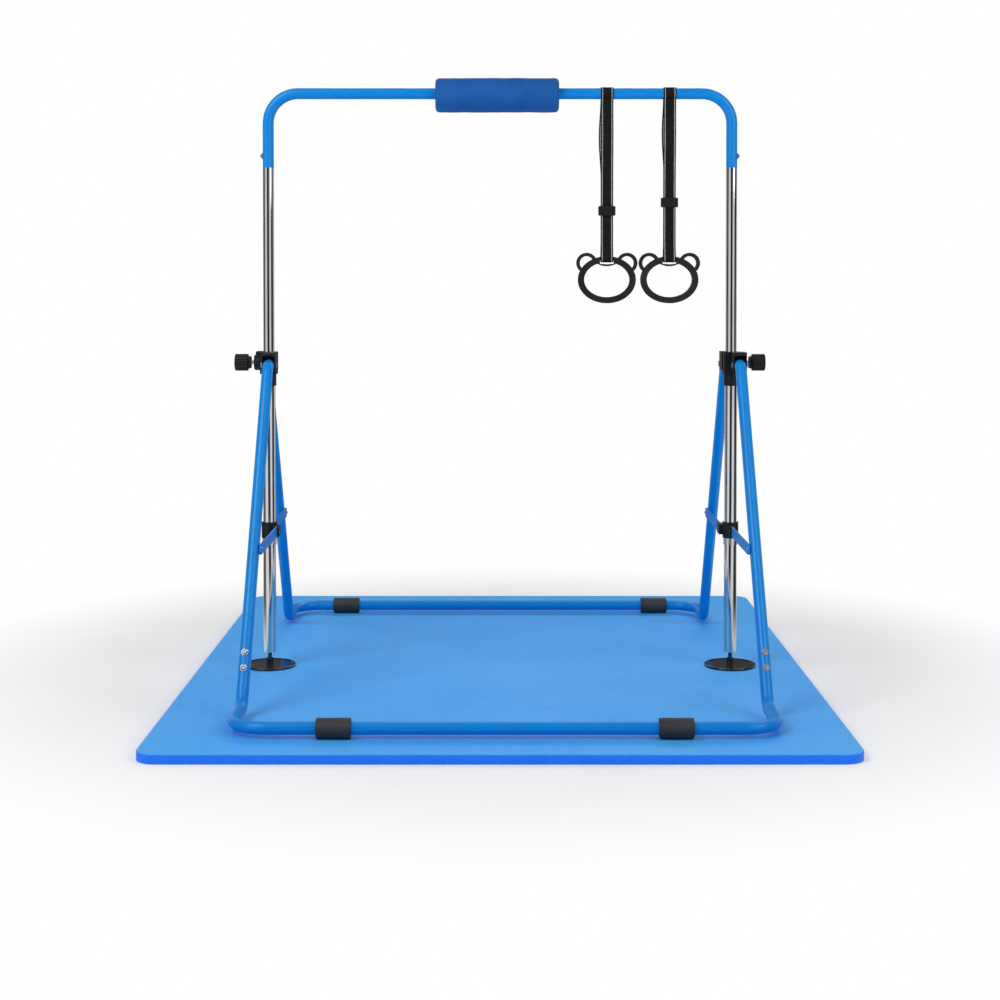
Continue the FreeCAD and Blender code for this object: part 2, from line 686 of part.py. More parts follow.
def leg_y_at(alias, way):
    """Where a leg's axis lies at a height, from the post plane."""
    run = f"(sizes.leg_foot - sizes.leg_top) / (sizes.pivot_z - sizes.rail_z)"
    return f"(sizes.leg_top + (sizes.pivot_z - sizes.{alias}) * {run})"


def collar(side, sign):
    """The sliding collar: a ring round the post with a pair of ears for each strut."""
    name = f"{side}_collar"
    x = f"{sign} * sizes.post_half"
    z = above("collar_bottom")
    parts = [
        rod(name + "_ring", LOWER_OD + " / 2 + sizes.collar_wall", "sizes.collar_height", x, POST_Y, z)
    ]
    tools = [
        rod(name + "_bore", LOWER_OD + " / 2 + sizes.slide_gap", "sizes.collar_height", x, POST_Y, z)
    ]
    pins = []
    slot = "(sizes.strut_thick + 2 * sizes.strut_gap)"
    ear = "4"
    for end, way in FRAMES:
        middle = f"{x} + {sign} * {strut_side(way, sign)}"
        reach = "sizes.strut_pin_y + 9"
        ears = block(
            f"{name}_{end}_ears", f"{slot} + 2 * {ear}", reach, "sizes.strut_wide",
            f"{middle} - {slot} / 2 - {ear}", POST_Y + (f" - ({reach})" if way < 0 else ""),
            above("strut_z") + " - sizes.strut_wide / 2",
        )
        parts.append(ears)
        clear = "sizes.strut_pin_y - sizes.strut_wide / 2 - 1"
        far = "(sizes.strut_wide + 20)"
        start = f"{POST_Y} + {clear}" if way > 0 else f"{POST_Y} - ({clear}) - {far}"
        tools.append(
            block(
                f"{name}_{end}_slot", slot, far, "sizes.collar_height + 20", f"{middle} - {slot} / 2", start,
                z + " - 10",
            )
        )
        pin_length = f"({slot} + 2 * {ear} + 2)"
        pin_x = f"{middle} - {pin_length} / 2"
        pin_y = f"{POST_Y} + {way} * sizes.strut_pin_y"
        tools.append(
            rod(f"{name}_{end}_hole", "sizes.strut_pin_od / 2", pin_length, pin_x, pin_y, above("strut_z"), "X")
        )
        pins.append(
            rod(f"{name}_{end}_pin", "sizes.strut_pin_od / 2", pin_length, pin_x, pin_y, above("strut_z"), "X")
        )
    node(name, cut(name, fuse(name, *parts), *tools))
    node(f"{side}_collar_pins", group(f"{side}_collar_pins", *pins))


def strut(end, way, side, sign):
    """A flat bar from the collar to beside its leg, with round ends."""
    name = f"{end}_{side}_strut"
    x = f"{sign} * (sizes.post_half + {strut_side(way, sign)}) - sizes.strut_thick / 2"
    z = above("strut_z")
    near = "sizes.strut_pin_y"
    far = leg_y_at("strut_z", way)
    long = f"({far} - {near})"
    start = f"{POST_Y} + {near}" if way > 0 else f"{POST_Y} - {far}"
    plate = block(name + "_plate", "sizes.strut_thick", long, "sizes.strut_wide", x, start,
                  z + " - sizes.strut_wide / 2")
    ends = [
        rod(f"{name}_end_{i}", "sizes.strut_wide / 2", "sizes.strut_thick", x, f"{POST_Y} + {way} * {y}", z, "X")
        for i, y in enumerate((near, far))
    ]
    hole = rod(name + "_hole", "sizes.strut_pin_od / 2 + sizes.pin_gap", "sizes.strut_thick + 2", x + " - 1",
               f"{POST_Y} + {way} * {near}", z, "X")
    node(name, cut(name, fuse(name, plate, *ends), hole))


def strut_rivets():
    """The rivet head on the free side of each strut where it meets its leg, one node for each strut."""
    for end, way in FRAMES:
        for side, sign in SIDES:
            name = f"{end}_{side}_rivet"
            axis = "-X" if sign > 0 else "X"
            x = f"{sign} * (sizes.post_half + {strut_side(way, sign)} - sizes.strut_thick / 2)"
            y = f"{POST_Y} + {way} * {leg_y_at('strut_z', way)}"
            cap = bound("Part::Cone", name + "_cap", Radius1="sizes.strut_pin_od",
                        Radius2="sizes.strut_pin_od * 0.5", Height="sizes.strut_pin_od * 0.5")
            placed(cap, x, y, above("strut_z"), axis)
            node(name, cap)


def foot(side, sign):
    """The levelling foot: a round disc with a hub and a threaded stud that goes up into the post's plug."""
    x = f"{sign} * sizes.post_half"
    floor = "sizes.mat_thick + sizes.rest_gap"
    disc = rod(f"{side}_disc", "sizes.disc_od / 2", "sizes.disc_thick", x, POST_Y, floor)
    plate = rounded(f"{side}_disc", disc, 2, lambda e: e.Closed and e.BoundBox.ZMin > disc.Shape.BoundBox.ZMax - 1)
    dish = rod(f"{side}_dish", "sizes.disc_od / 2 - 7", "2", x, POST_Y, floor + " + sizes.disc_thick - 1.2")
    hub = rod(f"{side}_hub", "sizes.hub_od / 2", "sizes.hub_height + 2", x, POST_Y, floor + " + sizes.disc_thick - 2")
    seat = rod(f"{side}_seat", "sizes.stud_od / 2", "sizes.hub_height + 9", x, POST_Y, floor + " + 2")
    shell = cut(f"{side}_dished", plate, dish)
    node(f"{side}_foot_disc", cut(f"{side}_foot", fuse(f"{side}_foot", shell, hub), seat))
    node(f"{side}_foot_stud", rod(f"{side}_stud", "sizes.stud_od / 2", "sizes.stud_length", x, POST_Y, floor + " + 2"))


def teardrop(radius, centre_z, apex_z, wide):
    """A bar along X whose section is a disc with two tangents to a point above or below it."""
    gap = abs(apex_z - centre_z)
    way = 1 if apex_z > centre_z else -1
    angle = math.acos(radius / gap)
    side_y = radius * math.sin(angle)
    side_z = centre_z + way * radius * math.cos(angle)
    disc = Part.makeCylinder(radius, wide, V(0, 0, centre_z), V(1, 0, 0))
    corners = [V(0, -side_y, side_z), V(0, 0, apex_z), V(0, side_y, side_z), V(0, 0, centre_z)]
    wedge = Part.Face(Part.makePolygon(corners + corners[:1])).extrude(V(wide, 0, 0))
    return disc.fuse(wedge)


def webbing(number):
    """A strap: a loop over the bar, two layers side by side, and a loop round the ring's top rim."""
    thick = size("strap_thick")
    wide = size("strap_wide")
    over_bar = TUBE_R + size("soft_gap")
    round_rim = math.hypot(size("grip_rim"), size("grip_depth")) / 2 + size("soft_gap")
    bar_z = height("bar_z")
    rim_z = height("ring_z")
    pinch = size("loop_pinch")
    low_pinch = size("rim_pinch")
    solid = teardrop(over_bar + thick, bar_z, bar_z - pinch - 3 * thick, wide)
    solid = solid.fuse(teardrop(round_rim + thick, rim_z, rim_z + low_pinch + 3 * thick, wide))
    layers = Part.makeBox(wide, 2 * thick, bar_z - rim_z, V(0, -thick, rim_z))
    solid = solid.fuse(layers)
    solid = solid.cut(teardrop(over_bar, bar_z, bar_z - pinch, wide))
    solid = solid.cut(teardrop(round_rim, rim_z, rim_z + low_pinch, wide))
    item = doc.addObject("Part::Feature", f"strap_{number}_webbing")
    item.Shape = solid.removeSplitter().Solids[0]
    item.Placement = FreeCAD.Placement(V(size(f"strap_{number}_x") - wide / 2, size("post_y"), 0), FreeCAD.Rotation())
    node(f"strap_{number}_webbing", item)


def buckle(number):
    """The slide buckle round both layers of a strap."""
    name = f"strap_{number}_buckle"
    x = f"sizes.strap_{number}_x"
    z = above(f"buckle_{number}_z")
    frame = block(
        name + "_frame", "sizes.buckle_wide", "sizes.buckle_thick", "sizes.buckle_tall", f"{x} - sizes.buckle_wide / 2",
        f"{POST_Y} - sizes.buckle_thick / 2", f"{z} - sizes.buckle_tall / 2",
    )
    soft = rounded(name, frame, 2.5, lambda e: abs(e.tangentAt(0).y) > 0.9)
    slot = block(
        name + "_slot", "sizes.strap_wide + 2 * sizes.soft_gap", "2 * (sizes.strap_thick + sizes.soft_gap)",
        "sizes.buckle_tall + 2", f"{x} - sizes.strap_wide / 2 - sizes.soft_gap",
        f"{POST_Y} - sizes.strap_thick - sizes.soft_gap", f"{z} - sizes.buckle_tall / 2 - 1",
    )
    node(name, cut(name, soft, slot))


def puck(radius, x, z):
    """A disc as thick as a hand ring."""
    return Part.makeCylinder(radius, size("ring_depth"), V(x, 0, z), V(0, 1, 0))


def oval(half_wide, half_tall):
    """An oval slab as thick as a hand ring."""
    edge = Part.Ellipse(V(half_wide, 0, 0), V(0, 0, half_tall), V(0, 0, 0)).toShape()
    return Part.Face(Part.Wire([edge])).extrude(V(0, size("ring_depth"), 0))


def hand_ring(number):
    """An oval hand ring with two open ears and a strap slot under its top rim."""
    rim = size("rim")
    wide = size("ring_half_wide")
    tall = size("ring_half_tall")
    depth = size("ring_depth")
    grip = size("grip_rim")
    outside = oval(wide, tall)
    solid = outside.cut(oval(wide - rim, tall - rim))
    for sign in (-1, 1):
        x = sign * size("ear_x")
        ear = puck(size("ear_outer"), x, size("ear_z")).cut(puck(size("ear_inner"), x, size("ear_z")))
        solid = solid.fuse(ear.cut(outside))
    lip_z = tall - size("slot_drop") + size("lip_radius")
    lip = puck(size("lip_radius") + 2.5, 0, lip_z).cut(puck(size("lip_radius") - 2.5, 0, lip_z))
    slot = size("strap_wide") + 2 * size("slot_play")
    window = Part.makeBox(slot + 22, depth, 40, V(-slot / 2 - 11, 0, tall - 45))
    solid = solid.fuse(lip.common(window).common(outside))
    side_cut = (depth - size("grip_depth")) / 2
    for y in (0, depth - side_cut):
        solid = solid.cut(Part.makeBox(slot, side_cut, grip + 8, V(-slot / 2, y, tall - grip - 4)))
    solid = solid.cut(Part.makeBox(slot, depth, rim - grip + 4, V(-slot / 2, 0, tall - rim - 4)))
    item = doc.addObject("Part::Feature", f"hand_ring_{number}")
    item.Shape = solid.removeSplitter().Solids[0]
    place = V(size(f"strap_{number}_x"), size("post_y") - depth / 2, height("ring_z") - tall + grip / 2)
    item.Placement = FreeCAD.Placement(place, FreeCAD.Rotation())
    node(f"hand_ring_{number}", item)


def print_fold():
    """Prints the travel of the collar and struts that goes with the legs' fold, for their couplings."""
    fold = math.radians(30)
    pivot = V(0, size("pivot_y"), size("pivot_z"))
    run = (size("leg_foot") - size("leg_top")) / (size("pivot_z") - size("rail_z"))
    y = size("leg_top") + (size("pivot_z") - size("strut_z")) * run
    arm = V(0, y, size("strut_z")) - pivot
    strut_long = y - size("strut_pin_y")
    new_y = pivot.y + arm.y * math.cos(fold) + arm.z * math.sin(fold)
    new_z = pivot.z + arm.z * math.cos(fold) - arm.y * math.sin(fold)
    rise = math.sqrt(strut_long**2 - (new_y - size("strut_pin_y")) ** 2)
    travel = new_z + rise - size("strut_z")
    angle = math.degrees(math.atan2(rise, new_y - size("strut_pin_y")))
    print(f"fold 30 deg: collar travel {travel:.2f} mm, strut turns {angle:.2f} deg, strut {strut_long:.1f} mm")


mat()
for side, sign in SIDES:
    lower_post(side, sign)
    post_fittings(side, sign)
    head(side, sign)
    knob(side, sign)
    upper_post(side, sign)
    collar(side, sign)
    foot(side, sign)
pivot_bolts()
pin_springs()
bar()
bar_bolts()
bar_pad()
for end, way in FRAMES:
    base_frame(end, way)
    for side, sign in SIDES:
        strut(end, way, side, sign)
strut_rivets()
for number in (1, 2):
    webbing(number)
    buckle(number)
    hand_ring(number)
doc.recompute()
print_fold()

for item in doc.Objects:
    if "Invalid" in item.State or "Error" in item.State:
        raise RuntimeError(f"{item.Name} failed: {item.State}")
for name, item in nodes.items():
    if item.Shape.isNull() or not item.Shape.isValid():
        raise RuntimeError(f"{name} has no valid shape")
    if not item.Shape.Solids:
        raise RuntimeError(f"{name} has no solid")

os.makedirs("parts", exist_ok=True)
for name, item in nodes.items():
    item.Shape.exportStep(f"parts/{name}.step")
print(f"{len(nodes)} nodes written")
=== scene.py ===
"""Looks for the folding kip bar: studio, materials, and its soft pieces (mat, foam pad and straps)."""
import bpy
import json
import math
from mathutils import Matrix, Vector, noise


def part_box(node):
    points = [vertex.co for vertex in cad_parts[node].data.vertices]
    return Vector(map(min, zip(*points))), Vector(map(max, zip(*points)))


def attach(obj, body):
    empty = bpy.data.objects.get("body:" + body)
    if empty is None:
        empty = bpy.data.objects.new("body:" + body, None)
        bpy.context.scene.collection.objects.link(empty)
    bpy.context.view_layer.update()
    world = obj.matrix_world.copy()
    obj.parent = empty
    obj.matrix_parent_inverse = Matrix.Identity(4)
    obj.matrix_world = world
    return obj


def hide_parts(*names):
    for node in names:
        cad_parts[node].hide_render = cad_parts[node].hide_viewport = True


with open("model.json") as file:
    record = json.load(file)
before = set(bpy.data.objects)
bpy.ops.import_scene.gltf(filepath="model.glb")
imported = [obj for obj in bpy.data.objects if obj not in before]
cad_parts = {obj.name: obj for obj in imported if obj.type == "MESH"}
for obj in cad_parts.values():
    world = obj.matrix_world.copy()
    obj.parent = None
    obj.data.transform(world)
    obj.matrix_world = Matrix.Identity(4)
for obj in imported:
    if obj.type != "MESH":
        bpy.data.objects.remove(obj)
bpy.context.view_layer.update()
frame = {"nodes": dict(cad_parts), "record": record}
NODES = frame["nodes"]
MM = 0.001


def mid(node):
    """The middle of a CAD node's box."""
    low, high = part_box(node)
    return (low + high) / 2


# ---------------------------------------------------------------- camera, light and floor

TUBE_RADIUS = 14 * MM
POST_Y = mid("left_lower_post").y
BAR_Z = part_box("bar_tube")[1].z - TUBE_RADIUS
MAT_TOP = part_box("mat")[1].z

CAMERA_DISTANCE = 4.456
CAMERA_HEIGHT = 0.981
LENS_MM = 63.4
PITCH_DEG = 1.5
SHIFT = -0.174

camera_data = bpy.data.cameras.new("camera")
camera_data.lens = LENS_MM
camera_data.sensor_width = 36
camera_data.shift_y = SHIFT
camera = bpy.data.objects.new("camera", camera_data)
camera.location = (0, POST_Y - CAMERA_DISTANCE, MAT_TOP + CAMERA_HEIGHT)
camera.rotation_euler = (math.radians(90 - PITCH_DEG), 0, 0)
bpy.context.scene.collection.objects.link(camera)
bpy.context.scene.camera = camera
bpy.context.scene.view_settings.view_transform = "Standard"


def area_light(name, place, target, size, power, colour=(1, 1, 1)):
    """A square softbox that looks at a point."""
    data = bpy.data.lights.new(name, "AREA")
    data.shape = "RECTANGLE"
    data.size, data.size_y = size
    data.energy = power
    data.color = colour
    light = bpy.data.objects.new(name, data)
    light.location = place
    way = Vector(target) - Vector(place)
    light.rotation_euler = way.to_track_quat("-Z", "Y").to_euler()
    bpy.context.scene.collection.objects.link(light)


area_light("key", (-2.6, -2.6, 3.8), (0, 0, 0.5), (2.2, 2.2), 95)
area_light("fill", (3.2, -2.4, 2.6), (0, 0, 0.6), (2.0, 2.6), 50)
area_light("back", (0.6, 3.4, 3.2), (0, 0, 0.6), (3.0, 1.6), 42)

world = bpy.data.worlds.new("studio")
world.use_nodes = True
bpy.context.scene.world = world
sky = world.node_tree
sky.nodes.clear()
sky_out = sky.nodes.new("ShaderNodeOutputWorld")
sky_mix = sky.nodes.new("ShaderNodeMixShader")
sky_rays = sky.nodes.new("ShaderNodeLightPath")
sky_seen = sky.nodes.new("ShaderNodeBackground")
sky_seen.inputs["Color"].default_value = (1, 1, 1, 1)
sky_seen.inputs["Strength"].default_value = 1.0
sky_lit = sky.nodes.new("ShaderNodeBackground")
sky_lit.inputs["Strength"].default_value = 0.85
sky_place = sky.nodes.new("ShaderNodeTexCoord")
# Grey levels from the left, round by the front, the right and the rear: softboxes with dark gaps between.
BANDS = [
    (0.00, 0.15), (0.045, 0.15), (0.083, 1.00), (0.165, 1.00), (0.20, 0.02), (0.28, 0.02), (0.325, 1.00),
    (0.385, 1.00), (0.42, 0.20), (0.455, 0.02), (0.53, 0.02), (0.57, 0.70), (0.66, 0.80), (0.70, 0.10),
    (0.77, 0.10), (0.81, 0.80), (0.89, 0.70), (0.917, 0.15),
]


def studio_bands(tree, place):
    """Grey levels round the vertical axis through the origin: softboxes with dark gaps between them."""
    split = tree.nodes.new("ShaderNodeSeparateXYZ")
    turn = tree.nodes.new("ShaderNodeMath")
    turn.operation = "ARCTAN2"
    scale = tree.nodes.new("ShaderNodeMath")
    scale.operation = "MULTIPLY_ADD"
    scale.inputs[1].default_value = 0.5 / math.pi
    scale.inputs[2].default_value = 0.5
    levels = tree.nodes.new("ShaderNodeValToRGB")
    ramp = levels.color_ramp
    while len(ramp.elements) < len(BANDS):
        ramp.elements.new(0.5)
    for element, (position, level) in zip(ramp.elements, BANDS):
        element.position = position
        element.color = (level, level, level, 1)
    tree.links.new(place, split.inputs[0])
    tree.links.new(split.outputs["Y"], turn.inputs[0])
    tree.links.new(split.outputs["X"], turn.inputs[1])
    tree.links.new(turn.outputs[0], scale.inputs[0])
    tree.links.new(scale.outputs[0], levels.inputs[0])
    return levels.outputs["Color"]


link = sky.links.new
link(studio_bands(sky, sky_place.outputs["Generated"]), sky_lit.inputs["Color"])
link(sky_rays.outputs["Is Camera Ray"], sky_mix.inputs[0])
link(sky_lit.outputs[0], sky_mix.inputs[1])
link(sky_seen.outputs[0], sky_mix.inputs[2])
link(sky_mix.outputs[0], sky_out.inputs["Surface"])


# ---------------------------------------------------------------- materials

def new_material(name):
    """An empty node material with its Principled shader."""
    material = bpy.data.materials.new(name)
    material.use_nodes = True
    nodes = material.node_tree.nodes
    return material, nodes, material.node_tree.links, nodes["Principled BSDF"]


def blotches(nodes, links, scale, low, high, detail=4.0):
    """Noise in object space, mapped between two values."""
    place = nodes.new("ShaderNodeTexCoord")
    tex = nodes.new("ShaderNodeTexNoise")
    tex.inputs["Scale"].default_value = scale
    tex.inputs["Detail"].default_value = detail
    links.new(place.outputs["Object"], tex.inputs["Vector"])
    span = nodes.new("ShaderNodeMapRange")
    span.inputs["From Min"].default_value = 0.3
    span.inputs["From Max"].default_value = 0.7
    span.inputs["To Min"].default_value = low
    span.inputs["To Max"].default_value = high
    links.new(tex.outputs["Fac"], span.inputs["Value"])
    return span.outputs["Result"]


def two_tone(nodes, links, factor, dark, light):
    """A colour between two, by a factor."""
    mix = nodes.new("ShaderNodeMix")
    mix.data_type = "RGBA"
    mix.inputs["A"].default_value = (*dark, 1)
    mix.inputs["B"].default_value = (*light, 1)
    links.new(factor, mix.inputs["Factor"])
    return mix.outputs["Result"]


def bump(nodes, links, height, distance, strength, shader):
    """Adds relief to a shader."""
    node = nodes.new("ShaderNodeBump")
    node.inputs["Distance"].default_value = distance
    node.inputs["Strength"].default_value = strength
    links.new(height, node.inputs["Height"])
    links.new(node.outputs["Normal"], shader.inputs["Normal"])
    return node


def surface(name, dark, light, rough, grain, relief, metallic=0.0, coat=0.0, patch=9.0, specular=0.5):
    """A material whose colour, roughness and fine relief vary over the surface."""
    material, nodes, links, shader = new_material(name)
    shader.inputs["Metallic"].default_value = metallic
    shader.inputs["Coat Weight"].default_value = coat
    shader.inputs["Coat Roughness"].default_value = 0.08
    shader.inputs["Specular IOR Level"].default_value = specular
    colour = two_tone(nodes, links, blotches(nodes, links, patch, 0, 1), dark, light)
    links.new(colour, shader.inputs["Base Color"])
    links.new(blotches(nodes, links, patch * 3.1, rough[0], rough[1]), shader.inputs["Roughness"])
    bump(nodes, links, blotches(nodes, links, grain, 0, 1, 2.0), relief, 1.0, shader)
    return material


paint = surface("blue_gloss_paint", (0.0, 0.215, 0.64), (0.0, 0.235, 0.69), (0.30, 0.38), 900, 0.000004,
                coat=0.06, specular=0.22)
chrome = surface("polished_chrome", (0.58, 0.585, 0.60), (0.66, 0.665, 0.68), (0.05, 0.09), 600, 0.000002,
                 metallic=1.0)
black = surface("black_moulding", (0.006, 0.006, 0.0065), (0.011, 0.011, 0.012), (0.42, 0.52), 1600, 0.00006,
                specular=0.25)
gloss = surface("black_gloss_moulding", (0.008, 0.008, 0.009), (0.012, 0.012, 0.013), (0.12, 0.2), 500, 0.00001,
                coat=0.3)
rubber = surface("black_rubber", (0.018, 0.018, 0.02), (0.028, 0.028, 0.03), (0.55, 0.68), 2200, 0.00008)
steel = surface("zinc_steel", (0.55, 0.55, 0.56), (0.70, 0.70, 0.71), (0.2, 0.32), 1400, 0.00002, 1.0)
dark_steel = surface("black_steel", (0.03, 0.03, 0.032), (0.05, 0.05, 0.052), (0.3, 0.42), 1500, 0.00004, 0.6)
ring_skin = surface("ring_moulding", (0.010, 0.010, 0.011), (0.016, 0.016, 0.017), (0.42, 0.54), 1300,
                    0.00007, specular=0.3)

BY_SLOT = {
    "chrome": chrome,
    "blue_paint": paint,
    "black_plastic": black,
    "gloss_black": gloss,
    "ring_plastic": ring_skin,
    "rubber": rubber,
    "steel": steel,
    "dark_steel": dark_steel,
}
for entry in frame["record"]["subparts"]:
    material = BY_SLOT.get(entry["material_slot"])
    node = NODES[entry["node"]]
    if material:
        node.data.materials.clear()
        node.data.materials.append(material)


def soften(node, width, segments=2):
    """Rounds the hard edges of a moulded node a little."""
    edge = node.modifiers.new("soft_edges", "BEVEL")
    edge.width = width
    edge.segments = segments
    edge.limit_method = "ANGLE"
    edge.angle_limit = math.radians(50)
    edge.harden_normals = False


# ---------------------------------------------------------------- meshes

def add_piece(name, mesh_data, material, body):
    """A new piece on a body."""
    piece = bpy.data.objects.new(name, mesh_data)
    bpy.context.scene.collection.objects.link(piece)
    mesh_data.materials.append(material)
    for face in mesh_data.polygons:
        face.use_smooth = True
    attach(piece, body)
    return piece


def grid_mesh(name, rows, closed_rows=False, closed_columns=False, caps=False):
    """A mesh over a grid of points: rows of equal length."""
    count = len(rows)
    width = len(rows[0])
    points = [p for row in rows for p in row]
    faces = []
    for i in range(count if closed_rows else count - 1):
        for j in range(width if closed_columns else width - 1):
            a = i * width + j
            b = i * width + (j + 1) % width
            c = ((i + 1) % count) * width + (j + 1) % width
            d = ((i + 1) % count) * width + j
            faces.append((a, b, c, d))
    if caps:
        faces.append(tuple(reversed(range(width))))
        faces.append(tuple((count - 1) * width + j for j in range(width)))
    data = bpy.data.meshes.new(name)
    data.from_pydata(points, [], faces)
    data.validate()
    return data


# ---------------------------------------------------------------- the mat

def mat_skin():
    """Foam skin: a fine pressed grain; its top painted a lighter azure than the deeper blue of its cut edge, a
    painted sheen on the lit top.
    """
    material, nodes, links, shader = new_material("mat_foam")
    place = nodes.new("ShaderNodeTexCoord")
    split = nodes.new("ShaderNodeSeparateXYZ")
    links.new(place.outputs["Object"], split.inputs[0])
    # Mask by height: the top rim gets the lighter painted-sheen tone, and the cut edge below it gets the deeper
    # blue.
    edge = nodes.new("ShaderNodeMapRange")
    edge.inputs["From Min"].default_value = MAT_TOP - 0.0035
    edge.inputs["From Max"].default_value = MAT_TOP - 0.0008
    links.new(split.outputs["Z"], edge.inputs["Value"])
    # Painted sheen: the top tone is painted a lighter azure than the foam's deeper blue.
    sheen_lit_top = two_tone(nodes, links, blotches(nodes, links, 3.0, 0, 1), (0.055, 0.40, 0.98), (0.075, 0.44, 0.99))
    side = two_tone(nodes, links, blotches(nodes, links, 60.0, 0, 1), (0.002, 0.17, 0.95), (0.004, 0.20, 0.98))
    mix = nodes.new("ShaderNodeMix")
    mix.data_type = "RGBA"
    links.new(edge.outputs["Result"], mix.inputs["Factor"])
    links.new(side, mix.inputs["A"])
    links.new(sheen_lit_top, mix.inputs["B"])
    links.new(mix.outputs["Result"], shader.inputs["Base Color"])
    links.new(blotches(nodes, links, 25.0, 0.42, 0.55), shader.inputs["Roughness"])
    shader.inputs["Specular IOR Level"].default_value = 0.3
    cells = nodes.new("ShaderNodeTexVoronoi")
    cells.feature = "F1"
    cells.inputs["Scale"].default_value = 110
    links.new(place.outputs["Object"], cells.inputs["Vector"])
    grain = nodes.new("ShaderNodeMath")
    grain.operation = "MULTIPLY_ADD"
    grain.inputs[1].default_value = 0.5
    links.new(cells.outputs["Distance"], grain.inputs[0])
    links.new(blotches(nodes, links, 420.0, 0, 1), grain.inputs[2])
    bump(nodes, links, grain.outputs[0], 0.0009, 0.6, shader)
    return material


def mat_outline(half_x, half_y, radius, steps=10):
    """A rectangle with round corners, as points round its edge."""
    points = []
    corners = ((1, 1, 0), (-1, 1, 90), (-1, -1, 180), (1, -1, 270))
    for sx, sy, start in corners:
        for i in range(steps + 1):
            angle = math.radians(start + 90 * i / steps)
            x = sx * (half_x - radius) + radius * math.cos(angle)
            y = sy * (half_y - radius) + radius * math.sin(angle)
            points.append((x, y))
    return points


def make_mat():
    """The floor mat: a slab with round corners and a softly rounded top rim."""
    low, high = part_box("mat")
    half_x = (high.x - low.x) / 2
    half_y = (high.y - low.y) / 2
    radius = 45 * MM
    rim = 4 * MM
    profile = [(0.4 * MM, 0.0), (0.0, 0.8 * MM), (0.0, high.z - rim)]
    for i in range(1, 7):
        angle = math.radians(90 * i / 6)
        profile.append((rim * (1 - math.cos(angle)), high.z - rim + rim * math.sin(angle)))
    profile += [(rim + 6 * MM, high.z), (rim + 30 * MM, high.z)]
    rows = []
    for inset, z in profile:
        outline = mat_outline(half_x - inset, half_y - inset, max(radius - inset, 4 * MM))
        rows.append([(x, y, z) for x, y in outline])
    data = grid_mesh("mat_skin", rows, closed_columns=True, caps=True)
    piece = add_piece("mat_skin", data, mat_skin(), "mat")
    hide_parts("mat")
    return piece


# ---------------------------------------------------------------- the foam pad

def pad_skin():
    """Closed-cell foam: deep blue, matte, with fine pores and faint blotches."""
    material, nodes, links, shader = new_material("pad_foam")
    colour = two_tone(nodes, links, blotches(nodes, links, 22.0, 0, 1), (0.004, 0.085, 0.33), (0.008, 0.105, 0.39))
    links.new(colour, shader.inputs["Base Color"])
    links.new(blotches(nodes, links, 40.0, 0.55, 0.72), shader.inputs["Roughness"])
    shader.inputs["Specular IOR Level"].default_value = 0.2
    pores = blotches(nodes, links, 900.0, 0, 1, 3.0)
    bump(nodes, links, pores, 0.0003, 0.6, shader)
    return material


def make_pad():
    """The foam sleeve: a slightly uneven roll with soft ends and a bore round the bar."""
    low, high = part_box("bar_pad")
    radius = (high.z - low.z) / 2 - 0.5 * MM
    centre_z = (high.z + low.z) / 2
    centre_y = (high.y + low.y) / 2
    edge = 10 * MM
    bore = 14.6 * MM
    ring_count = 72
    stations = []
    for i in range(9):
        angle = math.radians(90 * i / 8)
        stations.append((low.x + edge * (1 - math.cos(angle)), -edge * (1 - math.sin(angle))))
    inner_stations = [low.x + edge + (high.x - low.x - 2 * edge) * i / 40 for i in range(1, 40)]
    stations += [(x, 0.0) for x in inner_stations]
    for i in range(8, -1, -1):
        angle = math.radians(90 * i / 8)
        stations.append((high.x - edge * (1 - math.cos(angle)), -edge * (1 - math.sin(angle))))
    rows = []

    def bore_ring(x):
        return [
            (x, centre_y + bore * math.cos(2 * math.pi * j / ring_count),
             BAR_Z + bore * math.sin(2 * math.pi * j / ring_count))
            for j in range(ring_count)
        ]

    dish = 3 * MM
    rows.append(bore_ring(low.x + dish))
    for share in (0.25, 0.55, 0.85):
        face = outer_ring(low.x, radius - edge, centre_y, centre_z, ring_count)
        rows.append(blend_ring(bore_ring(low.x + dish), face, share))
    for x, change in stations:
        rows.append(outer_ring(x, radius + change, centre_y, centre_z, ring_count))
    for share in (0.85, 0.55, 0.25):
        face = outer_ring(high.x, radius - edge, centre_y, centre_z, ring_count)
        rows.append(blend_ring(bore_ring(high.x - dish), face, share))
    rows.append(bore_ring(high.x - dish))
    data = grid_mesh("foam_pad", rows, closed_rows=True, closed_columns=True)
    piece = add_piece("foam_pad", data, pad_skin(), "bar")
    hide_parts("bar_pad")
    return piece


def outer_ring(x, radius, centre_y, centre_z, count):
    """One ring of the foam roll. It sags a little, and its skin is faintly uneven."""
    ring = []
    for j in range(count):
        angle = 2 * math.pi * j / count
        wobble = 0.9 * MM * noise.noise(Vector((x * 22, math.cos(angle) * 1.3, math.sin(angle) * 1.3)))
        ridge = -0.8 * MM * math.exp(-((angle - math.radians(248)) / 0.05) ** 2)
        r = radius - 0.8 * MM + wobble + ridge
        ring.append((x, centre_y + r * math.cos(angle), centre_z + r * math.sin(angle)))
    return ring


def blend_ring(a, b, share):
    """A ring part of the way from one ring to another."""
    return [tuple(Vector(p) * (1 - share) + Vector(q) * share) for p, q in zip(a, b)]


# ---------------------------------------------------------------- straps

